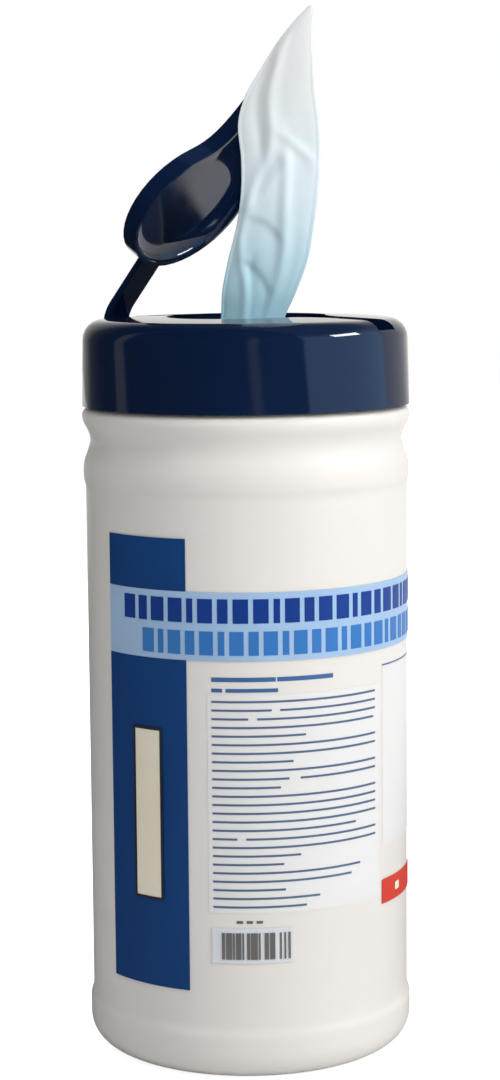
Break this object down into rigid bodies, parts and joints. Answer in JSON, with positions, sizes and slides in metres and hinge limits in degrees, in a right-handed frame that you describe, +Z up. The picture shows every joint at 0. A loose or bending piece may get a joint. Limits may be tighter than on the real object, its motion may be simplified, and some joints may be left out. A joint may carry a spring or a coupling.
{
  "type": "disinfecting wipes canister",
  "caption": "Round canister of disinfecting wipes with a push-on lid, a flip flap on a strap hinge and a wipe drawn up through the lid.",
  "frame": {"origin": "centre of the canister's base, on the surface it stands on", "axes": "+Z up the canister, +X from the flap's hinge towards its thumb tab"},
  "size_m": [0.1, 0.1, 0.3162],
  "materials": {
    "bottle": "blow-moulded white plastic with a soft gloss",
    "wipe_roll": "wet nonwoven, wound",
    "lid": "glossy moulded navy plastic",
    "flap": "glossy moulded navy plastic",
    "wipe": "wet translucent nonwoven",
    "print_blue": "printed ink",
    "print_pale": "printed ink",
    "print_cream": "printed ink",
    "print_grey": "printed ink",
    "print_red": "printed ink"
  },
  "bodies": {
    "canister": {"bottle": "bottle", "wipe_roll": "wipe_roll", "print_stripe_lower": "print_blue", "print_stripe_upper": "print_blue", "print_band": "print_pale", "print_blank_plate": "print_cream", "print_code_panel": "print_grey", "print_red_mark": "print_red"},
    "lid": {"lid": "lid", "wipe": "wipe"},
    "flap": {"flap": "flap"}
  },
  "joints": [
    {"name": "lid_lift", "type": "slide", "parent": "canister", "child": "lid", "axis": [0, 0, 1], "range_m": [0, 0.03]},
    {"name": "flap_hinge", "type": "hinge", "parent": "lid", "child": "flap", "pos_m": [-0.047, 0, 0.2199], "axis": [0, 1, 0], "range_deg": [0, 52], "deforming": ["wipe"]}
  ]
}
